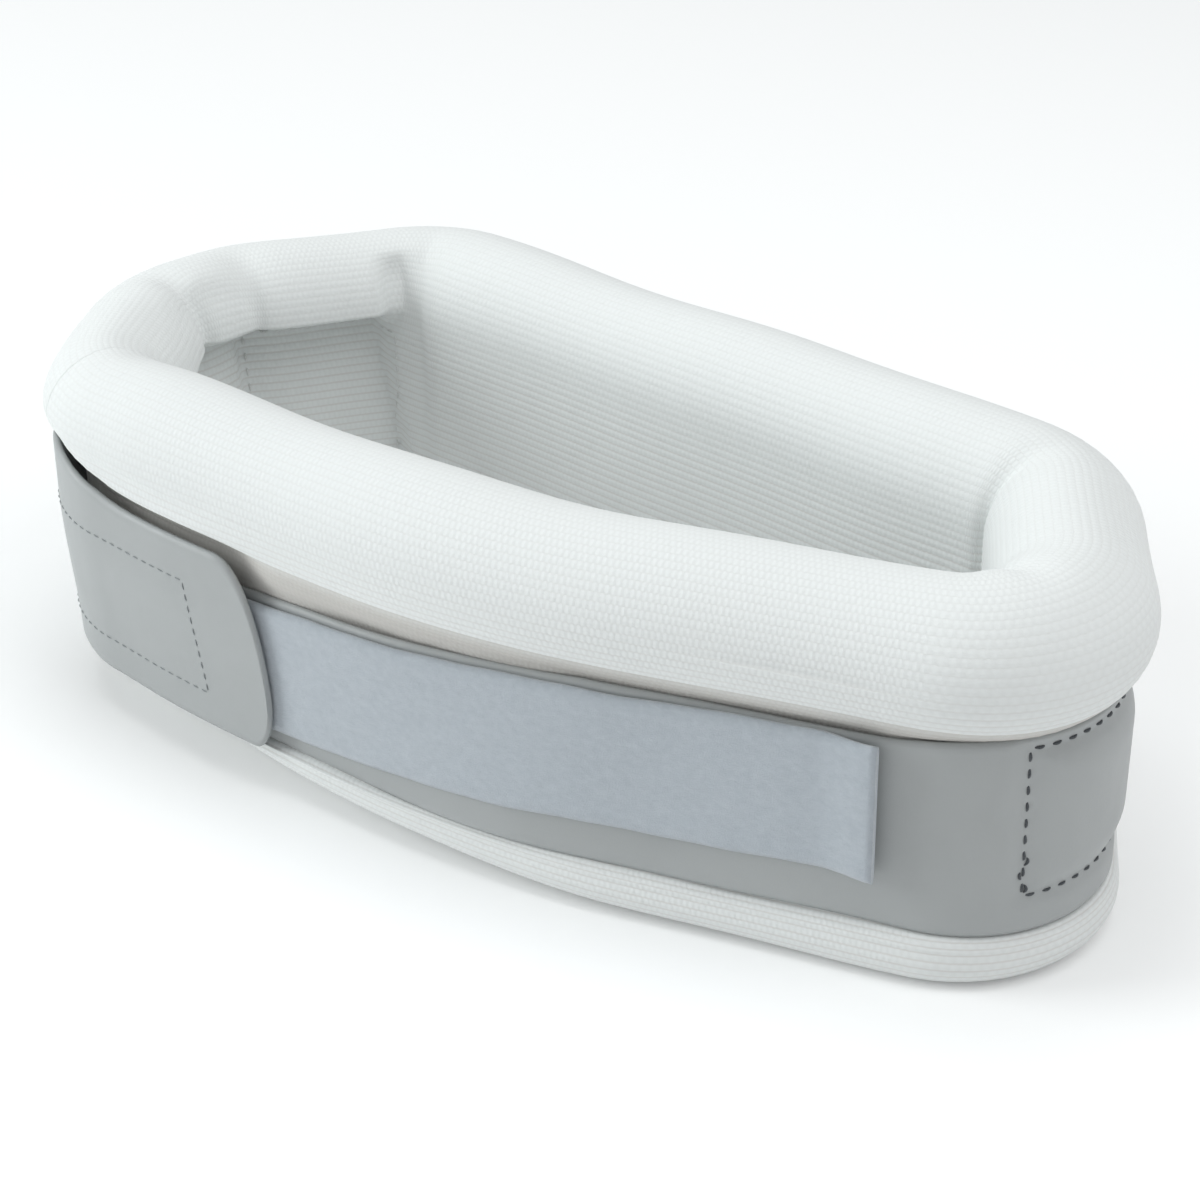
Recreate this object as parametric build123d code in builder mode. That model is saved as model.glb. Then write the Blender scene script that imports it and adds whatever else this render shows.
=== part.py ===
"""Soft cervical collar, closed round an empty neck opening, in millimetres.

The collar is a foam bar in a knitted cover, bent into a flat-sided loop whose two ends meet at
the near left corner.  A vinyl band wraps the outside between a top roll and a bottom roll.  Past
the left end the band runs on as the closure tab, whose hook tape faces the loop tape.
+Z is up, +X runs along the far wall and the near wall faces -Y.  The origin is at the bottom
centre of the whole collar.
"""
import os
from math import atan2, cos, degrees, radians, sin

from build123d import *

os.makedirs("parts", exist_ok=True)

# ---- driving dimensions -------------------------------------------------------------------
HEIGHT = 80.0                # floor to the crown of the top roll
WALL = 25.0                  # inner face to the cover face under the band
ROLL_RADIUS = 15.5           # inner side and crown of the top roll
FOOT_RADIUS = 13.0           # inner lower edge of the bar
COVER = 1.2                  # knitted cover
EASE = 0.1                   # room between layers that lie on each other
BAND = 1.5                   # vinyl
BAND_BOTTOM, BAND_TOP = 11.5, 53.5
TAPE_WIDTH = 29.5            # hook tape and loop tape
LOOP_TAPE, HOOK_TAPE = 1.8, 1.5
CLOSURE_GAP = 0.4            # between the loop pile and the hooks
BODY_GAP = 0.3               # between bodies that swing apart
END_GAP = 0.9                # each end of the bar to the plane where the ends meet
TAB_EDGE = 0.3               # the tab is narrower than the band by this much on each edge
THREAD = 0.5                 # how far a stitch stands proud
STITCH_LENGTH, STITCH_WIDTH, STITCH_PITCH = 2.8, 0.7, 4.0

# corners of the inner face, anticlockwise from the near left, and the radius of each bend
CORNERS = [(-83.0, -30.8), (14.4, -24.9), (98.0, 5.1), (77.5, 32.4),
           (-74.5, 32.4), (-94.0, 2.7), (-96.0, -9.3)]
BENDS = [3.0, 180.0, 4.0, 6.0, 6.0, 8.0, 8.0]
NEAR_LEFT, NEAR_MIDDLE, NEAR_RIGHT, FAR_RIGHT, FAR_LEFT, BACK_LEFT, LEFT = range(7)

# distances outward from the inner face
BAND_IN = WALL + EASE
BAND_OUT = BAND_IN + BAND
LOOP_IN = BAND_OUT + EASE
LOOP_OUT = LOOP_IN + LOOP_TAPE
HOOK_IN = LOOP_OUT + CLOSURE_GAP
HOOK_OUT = HOOK_IN + HOOK_TAPE
TAB_IN = HOOK_OUT + EASE
TAB_OUT = TAB_IN + BAND
ROLL_OUT = 2 * ROLL_RADIUS

# closure tab
TAB_BOTTOM, TAB_TOP = BAND_BOTTOM + TAB_EDGE, BAND_TOP - TAB_EDGE
TAB_ROOT = 3.0               # along the left face, from the bend above it
TAB_FLAT = 3.0               # the tab still lies on the cover over this length
TAB_RAMP = 13.0              # here the tab has lifted clear of the loop tape
TAB_CURVE = 6.0              # radius where it lifts
PULL_START = -47.0           # x where the free end that the fingers lift begins
PULL_TIP, PULL_TIP_Z = -31.5, 21.0
PULL_HEEL = 4.0              # how far its lower corner is rounded off
HOOK_START_ANGLE = -128.0    # outward angle on the near left bend
HOOK_END = -49.5             # x
HOOK_BOTTOM = 18.0

# loop tape: level along the right of the near wall, dipping towards the near left corner
LOOP_START, LOOP_LEVEL, LOOP_END = -78.0, 39.0, 98.5
LOOP_LOW, LOOP_HIGH = 12.2, 21.0

# stitched rectangles
BOX_HEIGHT, BOX_BOTTOM = 31.5, 19.5
RIGHT_BOX_ANGLE, RIGHT_BOX_WIDTH, RIGHT_BOX_INNER = -31.0, 40.0, 24.0
BACK_BOX_WIDTH = 28.0
HEM = 2.5                    # stitches in from the edge of the hook tape
SEAM_BOTTOM, SEAM_TOP = 12.0, 68.0


# ---- the line of the inner face -----------------------------------------------------------
def heading(start, end):
    """Direction of travel between two plan points, in degrees."""
    return degrees(atan2(end[1] - start[1], end[0] - start[0]))


def ray(angle, length=1.0):
    """Plan vector at an angle in degrees."""
    return Vector(cos(radians(angle)), sin(radians(angle))) * length


def bend(i):
    """Centre of bend i, and its outward angles at the start and the end, rising."""
    before, here = CORNERS[i - 1], CORNERS[i]
    after = CORNERS[(i + 1) % len(CORNERS)]
    start = heading(before, here) - 90
    turn = (heading(here, after) - 90 - start) % 360
    centre = Vector(*here) - ray(start + turn / 2, BENDS[i] / cos(radians(turn / 2)))
    return centre, start, start + turn


def at_bend(i, angle, out):
    """Plan point beside bend i, at an outward angle and a distance from the inner face."""
    return bend(i)[0] + ray(angle, BENDS[i] + out)


def after_bend(i, along, out):
    """Plan point on the straight run after bend i."""
    angle = bend(i)[2]
    return at_bend(i, angle, out) + ray(angle + 90, along)


def run_length(i):
    """Length of the straight run after bend i."""
    following = (i + 1) % len(CORNERS)
    return (at_bend(following, bend(following)[1], 0) - at_bend(i, bend(i)[2], 0)).length


def walk(i, angle, out, length):
    """Plan point and outward angle after a length of wall, from an outward angle on bend i."""
    end = bend(i)[2]
    arc = radians(end - angle) * (BENDS[i] + out)
    if length <= arc:
        there = angle + degrees(length / (BENDS[i] + out))
        return at_bend(i, there, out), there
    if length <= arc + run_length(i):
        return after_bend(i, length - arc, out), end
    following = (i + 1) % len(CORNERS)
    return walk(following, bend(following)[1], out, length - arc - run_length(i))


def near_wall(x, out):
    """Plan point at one x on the straight run after the near left bend."""
    start = after_bend(NEAR_LEFT, 0, out)
    slope = bend(NEAR_LEFT)[2] + 90
    return start + ray(slope, (x - start.X) / cos(radians(slope)))


with BuildSketch() as inner_face:
    with BuildLine() as inner_line:
        FilletPolyline(*CORNERS, radius=BENDS, close=True)
    make_face()


def ring(inside, outside, bottom, top):
    """Upright strip that follows the inner face, between two distances outward from it."""
    with BuildPart() as strip:
        with BuildSketch(Plane.XY.offset(bottom)):
            add(inner_face.sketch)
            offset(amount=outside, kind=Kind.ARC)
            with BuildSketch(mode=Mode.PRIVATE) as hole:
                add(inner_face.sketch)
                offset(amount=inside, kind=Kind.ARC)
            add(hole.sketch, mode=Mode.SUBTRACT)
        extrude(amount=top - bottom)
    return strip.part


# ---- where the loop divides ---------------------------------------------------------------
MEET_ANGLE = sum(bend(NEAR_LEFT)[1:]) / 2    # the two ends of the bar meet on this ray
FOLD_ANGLE = sum(bend(BACK_LEFT)[1:]) / 2    # the left end folds on this one


def crossing(point_a, angle_a, point_b, angle_b):
    """Where two plan lines cross."""
    a, b, gap = ray(angle_a), ray(angle_b), point_b - point_a
    return point_a + a * ((gap.X * b.Y - gap.Y * b.X) / (a.X * b.Y - a.Y * b.X))


def left_region(meet_gap, fold_gap):
    """Tall wedge round the left end, its sides moved in from the meeting and fold planes."""
    meet = bend(NEAR_LEFT)[0] + ray(MEET_ANGLE - 90, meet_gap)
    fold = bend(BACK_LEFT)[0] + ray(FOLD_ANGLE + 90, fold_gap)
    apex = crossing(meet, MEET_ANGLE, fold, FOLD_ANGLE)
    reach = 2 * abs(CORNERS[LEFT][0])
    with BuildPart() as wedge:
        with BuildSketch(Plane.XY.offset(-HEIGHT)):
            with BuildLine():
                Polyline(apex, apex + ray(FOLD_ANGLE, reach), apex + ray(MEET_ANGLE, reach), close=True)
            make_face()
        extrude(amount=3 * HEIGHT)
    return wedge.part


def left_share(loop, meet_gap):
    """The share of a closed loop that swings with the left end."""
    with BuildPart() as share:
        add(loop)
        add(left_region(meet_gap, BODY_GAP / 2), mode=Mode.INTERSECT)
    return share.part


def main_share(loop, meet_gap):
    """The rest of a closed loop."""
    with BuildPart() as share:
        add(loop)
        add(left_region(-meet_gap, -BODY_GAP / 2), mode=Mode.SUBTRACT)
    return share.part


# ---- foam bar and knitted cover -----------------------------------------------------------
SECTION_PLANE = Plane(after_bend(FAR_RIGHT, run_length(FAR_RIGHT) / 2, 0), x_dir=ray(90), z_dir=ray(0))
CROWN_Z = HEIGHT - ROLL_RADIUS
LIP, LIP_DROP = ROLL_OUT - WALL, CROWN_Z - BAND_TOP
LIP_RADIUS = (LIP ** 2 + LIP_DROP ** 2) / (2 * LIP)


def bar(inset):
    """Closed loop of the padded bar, with its section drawn in by an inset."""
    with BuildPart() as loop:
        with BuildSketch(SECTION_PLANE):
            with BuildLine():
                Line((0, FOOT_RADIUS), (0, CROWN_Z))
                RadiusArc((0, CROWN_Z), (ROLL_RADIUS, HEIGHT), ROLL_RADIUS)
                RadiusArc((ROLL_RADIUS, HEIGHT), (ROLL_OUT, CROWN_Z), ROLL_RADIUS)
                RadiusArc((ROLL_OUT, CROWN_Z), (WALL, BAND_TOP), LIP_RADIUS)
                Line((WALL, BAND_TOP), (WALL, BAND_BOTTOM))
                RadiusArc((WALL, BAND_BOTTOM), (WALL, 0), BAND_BOTTOM / 2)
                Line((WALL, 0), (FOOT_RADIUS, 0))
                RadiusArc((FOOT_RADIUS, 0), (0, FOOT_RADIUS), FOOT_RADIUS)
            make_face()
            if inset:
                offset(amount=-inset, mode=Mode.REPLACE)
        sweep(path=inner_line.line)
    return loop.part


END_CAP = END_GAP + COVER
outside_loop = bar(0)
lining_loop = bar(COVER)
foam_loop = bar(COVER + EASE)

with BuildPart() as foam_core_main:
    add(main_share(foam_loop, END_CAP + EASE))

with BuildPart() as foam_core_left_end:
    add(left_share(foam_loop, END_CAP + EASE))

with BuildPart() as cover_main:
    add(main_share(outside_loop, END_GAP))
    add(main_share(lining_loop, END_CAP), mode=Mode.SUBTRACT)

with BuildPart() as cover_left_end:
    add(left_share(outside_loop, END_GAP))
    add(left_share(lining_loop, END_CAP), mode=Mode.SUBTRACT)

# ---- vinyl band ---------------------------------------------------------------------------
band_loop = ring(BAND_IN, BAND_OUT, BAND_BOTTOM, BAND_TOP)

with BuildPart() as band_main:
    add(main_share(band_loop, END_GAP))

with BuildPart() as band_left_end:
    add(left_share(band_loop, END_GAP))
    with BuildSketch():
        with BuildLine():
            root = after_bend(LEFT, TAB_ROOT, 0)
            face_angle = bend(LEFT)[2]
            Polyline(root, root + ray(face_angle, HEIGHT), root + ray(face_angle + 45, 2 * HEIGHT),
                     root + ray(face_angle + 90, HEIGHT), close=True)
        make_face()
    extrude(amount=HEIGHT, mode=Mode.SUBTRACT)


# ---- closure tab and tapes ----------------------------------------------------------------
def round_corner(inside, outside, start_angle, end_x):
    """Plan strip from an outward angle on the near left bend to an x on the near wall."""
    centre, _, end_angle = bend(NEAR_LEFT)
    with BuildSketch() as strip:
        with BuildLine():
            inner_arc = CenterArc(centre, BENDS[NEAR_LEFT] + inside, start_angle, end_angle - start_angle)
            inner_run = Line(inner_arc @ 1, near_wall(end_x, inside))
            outer_arc = CenterArc(centre, BENDS[NEAR_LEFT] + outside, start_angle, end_angle - start_angle)
            outer_run = Line(outer_arc @ 1, near_wall(end_x, outside))
            Line(inner_arc @ 0, outer_arc @ 0)
            Line(inner_run @ 1, outer_run @ 1)
        make_face()
    return strip.sketch


with BuildPart() as closure_tab:
    lying, lifted = BAND_IN + BAND / 2, TAB_IN + BAND / 2
    with BuildSketch(Plane.XY.offset(TAB_BOTTOM)):
        with BuildLine():
            FilletPolyline(after_bend(LEFT, TAB_ROOT + BODY_GAP, lying),
                           after_bend(LEFT, TAB_ROOT + TAB_FLAT, lying),
                           after_bend(LEFT, TAB_RAMP, lifted),
                           after_bend(LEFT, run_length(LEFT), lifted), radius=TAB_CURVE)
        trace(line_width=BAND)
        add(round_corner(TAB_IN, TAB_OUT, bend(NEAR_LEFT)[1], PULL_START - BODY_GAP / 2))
    extrude(amount=TAB_TOP - TAB_BOTTOM)

with BuildPart() as pull_end:
    with BuildSketch(Plane.XZ):
        with BuildLine():
            start, heel = PULL_START + BODY_GAP / 2, PULL_TIP - PULL_HEEL
            Line((heel, TAB_BOTTOM), (start, TAB_BOTTOM))
            Line((start, TAB_BOTTOM), (start, TAB_TOP))
            EllipticalCenterArc((start, PULL_TIP_Z), PULL_TIP - start, TAB_TOP - PULL_TIP_Z, arc_size=90)
            EllipticalCenterArc((heel, PULL_TIP_Z), PULL_HEEL, PULL_TIP_Z - TAB_BOTTOM,
                                start_angle=270, arc_size=90)
        make_face()
    extrude(amount=HEIGHT)
    with BuildSketch():
        add(round_corner(TAB_IN, TAB_OUT, MEET_ANGLE, PULL_TIP + BAND))
    extrude(amount=HEIGHT, mode=Mode.INTERSECT)

with BuildPart() as hook_tape:
    with BuildSketch(Plane.XY.offset(HOOK_BOTTOM)):
        add(round_corner(HOOK_IN, HOOK_OUT, HOOK_START_ANGLE, HOOK_END))
    extrude(amount=TAPE_WIDTH)

with BuildPart() as loop_tape:
    with BuildSketch(Plane.XZ):
        with BuildLine():
            Polyline((LOOP_START, LOOP_LOW), (LOOP_LEVEL, LOOP_HIGH), (LOOP_END, LOOP_HIGH),
                     (LOOP_END, LOOP_HIGH + TAPE_WIDTH), (LOOP_LEVEL, LOOP_HIGH + TAPE_WIDTH),
                     (LOOP_START, LOOP_LOW + TAPE_WIDTH), close=True)
        make_face()
    extrude(amount=2 * HEIGHT)
    add(ring(LOOP_IN, LOOP_OUT, 0, HEIGHT), mode=Mode.INTERSECT)


# ---- stitching ----------------------------------------------------------------------------
def stitch(point, z, normal_angle, upright):
    """One stitch standing on a wall face."""
    along = Vector(0, 0, 1) if upright else ray(normal_angle + 90)
    base = point + ray(normal_angle, EASE) + Vector(0, 0, z)
    with BuildPart() as one:
        with BuildSketch(Plane(base, x_dir=along, z_dir=ray(normal_angle))):
            SlotOverall(STITCH_LENGTH, STITCH_WIDTH)
        extrude(amount=THREAD)
    return one.part


def steps(length):
    """Middles of the stitches that fill a length."""
    count = round(length / STITCH_PITCH)
    return [(k + 0.5) * length / count for k in range(count)]


def stitched_box(i, angle, out, first, width, bottom, height, flip=0):
    """Stitches round a rectangle on the wall, a first length on from an outward angle on bend i."""
    stitches = []
    for along in steps(width):
        point, facing = walk(i, angle, out, first + along)
        stitches += [stitch(point, z, facing + flip, upright=False) for z in (bottom, bottom + height)]
    for along in (0, width):
        point, facing = walk(i, angle, out, first + along)
        stitches += [stitch(point, bottom + up, facing + flip, upright=True) for up in steps(height)]
    return stitches


def end_seam(side):
    """Stitches that close the cover's end, on one side of the plane where the ends meet."""
    facing = MEET_ANGLE - 90 * side
    point = at_bend(NEAR_LEFT, MEET_ANGLE, WALL / 2) - ray(facing, END_GAP)
    return [stitch(point, SEAM_BOTTOM + up, facing, upright=False) for up in steps(SEAM_TOP - SEAM_BOTTOM)]


right_end = bend(NEAR_RIGHT)[2]
back_end = bend(FAR_LEFT)[2]
back_margin = (run_length(FAR_LEFT) - BACK_BOX_WIDTH) / 2
inner_margin = (run_length(NEAR_RIGHT) - RIGHT_BOX_INNER) / 2

with BuildPart() as right_box_needle_thread:
    add(stitched_box(NEAR_RIGHT, RIGHT_BOX_ANGLE, BAND_OUT, 0, RIGHT_BOX_WIDTH, BOX_BOTTOM, BOX_HEIGHT))

with BuildPart() as right_box_bobbin_thread:
    add(stitched_box(NEAR_RIGHT, right_end, 0, inner_margin, RIGHT_BOX_INNER, BOX_BOTTOM, BOX_HEIGHT, 180))

with BuildPart() as back_box_needle_thread:
    add(stitched_box(FAR_LEFT, back_end, BAND_OUT, back_margin, BACK_BOX_WIDTH, BOX_BOTTOM, BOX_HEIGHT))

with BuildPart() as back_box_bobbin_thread:
    add(stitched_box(FAR_LEFT, back_end, 0, back_margin, BACK_BOX_WIDTH, BOX_BOTTOM, BOX_HEIGHT, 180))

with BuildPart() as hook_tape_thread:
    hem_angle = HOOK_START_ANGLE + degrees(HEM / (BENDS[NEAR_LEFT] + TAB_OUT))
    corner_arc = radians(bend(NEAR_LEFT)[2] - hem_angle) * (BENDS[NEAR_LEFT] + TAB_OUT)
    wall_run = (near_wall(HOOK_END - HEM, TAB_OUT) - after_bend(NEAR_LEFT, 0, TAB_OUT)).length
    add(stitched_box(NEAR_LEFT, hem_angle, TAB_OUT, 0, corner_arc + wall_run, HOOK_BOTTOM + HEM,
                     TAPE_WIDTH - 2 * HEM))

with BuildPart() as end_seam_main:
    add(end_seam(1))

with BuildPart() as end_seam_left_end:
    add(end_seam(-1))

# ---- files --------------------------------------------------------------------------------
PIECES = {"foam_core_main": foam_core_main, "foam_core_left_end": foam_core_left_end,
          "cover_main": cover_main, "cover_left_end": cover_left_end,
          "band_main": band_main, "band_left_end": band_left_end,
          "closure_tab": closure_tab, "pull_end": pull_end,
          "hook_tape": hook_tape, "loop_tape": loop_tape,
          "right_box_needle_thread": right_box_needle_thread,
          "right_box_bobbin_thread": right_box_bobbin_thread,
          "back_box_needle_thread": back_box_needle_thread,
          "back_box_bobbin_thread": back_box_bobbin_thread,
          "hook_tape_thread": hook_tape_thread,
          "end_seam_main": end_seam_main, "end_seam_left_end": end_seam_left_end}

for name, piece in PIECES.items():
    piece.part.label = name
    export_step(piece.part, f"parts/{name}.step")
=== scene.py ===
"""Looks of the soft cervical collar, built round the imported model, in metres and in its frame."""
from math import atan2, ceil, cos, degrees, pi, radians, sin

import bpy
import numpy as np
from mathutils import Matrix, Vector


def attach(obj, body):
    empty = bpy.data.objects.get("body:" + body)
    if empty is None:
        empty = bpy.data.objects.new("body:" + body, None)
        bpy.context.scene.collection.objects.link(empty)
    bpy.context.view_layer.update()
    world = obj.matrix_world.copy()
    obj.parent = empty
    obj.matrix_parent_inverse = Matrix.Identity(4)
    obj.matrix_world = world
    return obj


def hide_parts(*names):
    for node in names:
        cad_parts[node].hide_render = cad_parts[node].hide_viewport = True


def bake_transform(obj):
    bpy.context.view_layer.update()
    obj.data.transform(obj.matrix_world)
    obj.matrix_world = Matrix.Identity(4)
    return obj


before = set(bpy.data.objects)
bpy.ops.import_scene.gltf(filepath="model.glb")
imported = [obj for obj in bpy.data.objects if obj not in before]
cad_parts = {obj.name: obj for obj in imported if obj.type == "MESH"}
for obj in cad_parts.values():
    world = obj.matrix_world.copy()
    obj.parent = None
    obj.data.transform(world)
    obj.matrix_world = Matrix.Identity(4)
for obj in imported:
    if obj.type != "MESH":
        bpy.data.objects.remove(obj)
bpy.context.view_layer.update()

# ---- driving dimensions -------------------------------------------------------------------
HEIGHT, WALL = 0.080, 0.025
ROLL_RADIUS, FOOT_RADIUS = 0.0155, 0.013
LIP = 2 * ROLL_RADIUS - WALL  # how far the roll stands out over the band
BAND, BAND_BOTTOM, BAND_TOP = 0.0015, 0.0115, 0.0535
BAND_IN, BAND_OUT = 0.0251, 0.0266
LOOP_IN, LOOP_OUT = 0.0267, 0.0285
TAB_IN, TAB_OUT = 0.0305, 0.0320
SKIN = 0.0013                 # knitted cover, with the ease under it
FOAM_END = 0.0012             # the foam stops this far inside the cover's closed ends
RIB_PITCH, RIB_DEPTH = 0.0017, 0.00014
COURSE_PITCH = 0.0012         # knit stitches along a rib
THREAD, STITCH = 0.0003, 0.0035    # radius of the sewing thread, and a stitch's length
BOX_LOW, BOX_HIGH = 0.0195, 0.0512    # heights of the stitched rectangles

# corners of the inner face, anticlockwise from the near left, and the radius of each bend
CORNERS = [(-0.0830, -0.0308), (0.0144, -0.0249), (0.0980, 0.0051), (0.0775, 0.0324),
           (-0.0745, 0.0324), (-0.0940, 0.0027), (-0.0960, -0.0093)]
BENDS = [0.003, 0.180, 0.004, 0.006, 0.006, 0.008, 0.008]
NEAR_LEFT, NEAR_MIDDLE, NEAR_RIGHT, FAR_RIGHT, FAR_LEFT, BACK_LEFT, LEFT = range(7)
MIDDLE = ROLL_RADIUS          # lengths along the collar are measured this far out


# ---- the line of the inner face -----------------------------------------------------------
def heading(start, end):
    """Direction between two plan points, in degrees."""
    return degrees(atan2(end[1] - start[1], end[0] - start[0]))


def ray(angle):
    """Unit plan vector at an angle in degrees."""
    return np.array([cos(radians(angle)), sin(radians(angle))])


def bend(i):
    """Centre of bend i, and its outward angles at the start and the end, rising."""
    before, here, after = CORNERS[i - 1], CORNERS[i], CORNERS[(i + 1) % len(CORNERS)]
    start = heading(before, here) - 90
    turn = (heading(here, after) - 90 - start) % 360
    centre = np.array(here) - ray(start + turn / 2) * BENDS[i] / cos(radians(turn / 2))
    return centre, start, start + turn


def stretches():
    """Arcs and straight runs from the plane where the ends meet, once round, to that plane."""
    found = []
    for i in range(len(CORNERS) + 1):
        centre, start, end = bend(i % len(CORNERS))
        if i == 0:
            start = (start + end) / 2
        if i == len(CORNERS):
            end = (start + end) / 2
        found.append(("arc", centre, BENDS[i % len(CORNERS)], start, end))
        if i < len(CORNERS):
            after_centre, after_start, _ = bend((i + 1) % len(CORNERS))
            first = centre + ray(end) * BENDS[i]
            last = after_centre + ray(after_start) * BENDS[(i + 1) % len(CORNERS)]
            found.append(("run", first, ray(end + 90), end, float(np.linalg.norm(last - first))))
    return found


STRETCHES = stretches()


def stretch_length(part):
    """Length of one stretch along the middle of the wall."""
    if part[0] == "arc":
        return radians(part[4] - part[3]) * (part[2] + MIDDLE)
    return part[4]


STARTS = [0.0]
for part in STRETCHES:
    STARTS.append(STARTS[-1] + stretch_length(part))
TOTAL = STARTS[-1]


def wall(s):
    """Inner face's plan point and outward angle, a length s round the collar."""
    k = 0
    while k < len(STRETCHES) - 1 and s > STARTS[k + 1]:
        k += 1
    part, along = STRETCHES[k], s - STARTS[k]
    if part[0] == "arc":
        angle = part[3] + degrees(along / (part[2] + MIDDLE))
        return part[1] + ray(angle) * part[2], angle
    return part[1] + part[2] * along, part[3]


def length_at(i, angle=None):
    """Length round the collar at an outward angle on bend i, or at the middle of the bend."""
    _, start, end = bend(i)
    first = STARTS[2 * i]
    if angle is None:
        angle = (start + end) / 2
    return first + radians(angle - start) * (BENDS[i] + MIDDLE)


def spaced(first, last, step, out=MIDDLE):
    """Lengths round the collar that are evenly spaced when measured at a distance out."""
    fine = np.linspace(first, last, 1500)
    points = np.array([wall(s)[0] + ray(wall(s)[1]) * out for s in fine])
    run = np.concatenate([[0], np.cumsum(np.linalg.norm(np.diff(points, axis=0), axis=1))])
    count = max(2, int(ceil(run[-1] / step)) + 1)
    return np.interp(np.linspace(0, run[-1], count), run, fine)


def close_ends(lengths):
    """The same lengths with one more just inside each end, so that the caps don't shade the sides."""
    lengths = list(lengths)
    return [lengths[0], lengths[0] + 0.00002, *lengths[1:-1], lengths[-1] - 0.00002, lengths[-1]]


def place(s, out, z):
    """Points in space beside the wall, for distances out and heights z."""
    point, angle = wall(s)
    out, z = np.broadcast_arrays(np.asarray(out, float), np.asarray(z, float))
    xy = point[None, :] + out.reshape(-1, 1) * ray(angle)[None, :]
    return np.column_stack([xy, z.reshape(-1)])


AT_FAR_LEFT, AT_BACK_LEFT, AT_LEFT = length_at(FAR_LEFT), length_at(BACK_LEFT), length_at(LEFT)
AT_NEAR_RIGHT, AT_FAR_RIGHT = length_at(NEAR_RIGHT), length_at(FAR_RIGHT)
LEFT_FACE = STARTS[13]        # the straight left face starts here
NEAR_FACE = STARTS[1]         # and the near wall's straight here


# ---- meshes -------------------------------------------------------------------------------
def ease(x):
    """Smooth step from 0 to 1."""
    x = np.clip(x, 0, 1)
    return x * x * (3 - 2 * x)


def hump(x, width):
    """Bell curve."""
    return np.exp(-(x / width) ** 2)


def make(name, vertices, faces, flat_faces=(), weave=None):
    """A smooth mesh object; weave is (length round the collar, length round the section, height)."""
    mesh = bpy.data.meshes.new(name)
    mesh.from_pydata(np.asarray(vertices).tolist(), [], faces)
    mesh.polygons.foreach_set("use_smooth", [True] * len(mesh.polygons))
    for index in flat_faces:
        mesh.polygons[index].use_smooth = False
    if weave is not None:
        attribute = mesh.attributes.new("weave", "FLOAT_VECTOR", "POINT")
        attribute.data.foreach_set("vector", np.asarray(weave, np.float32).reshape(-1))
    mesh.update()
    piece = bpy.data.objects.new(name, mesh)
    bpy.context.scene.collection.objects.link(piece)
    return piece


def skin_rings(name, rings, weave=None):
    """A closed tube through rings with the same number of points, and a flat cap at each end."""
    count, per = len(rings), len(rings[0])
    here = np.arange(per)
    after = (here + 1) % per
    faces = []
    for k in range(count - 1):
        a, b = k * per, (k + 1) * per
        faces += np.column_stack([a + here, b + here, b + after, a + after]).tolist()
    faces.append(list(range(per)))
    faces.append(list(range(count * per - 1, (count - 1) * per - 1, -1)))
    caps = (len(faces) - 2, len(faces) - 1)
    return make(name, np.vstack(rings), faces, caps, weave)


def dress(piece, material, replaces=()):
    """Material, slot and the CAD nodes that a piece stands for."""
    piece.data.materials.append(material)
    if replaces:
        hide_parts(*replaces)
    return piece


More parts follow.
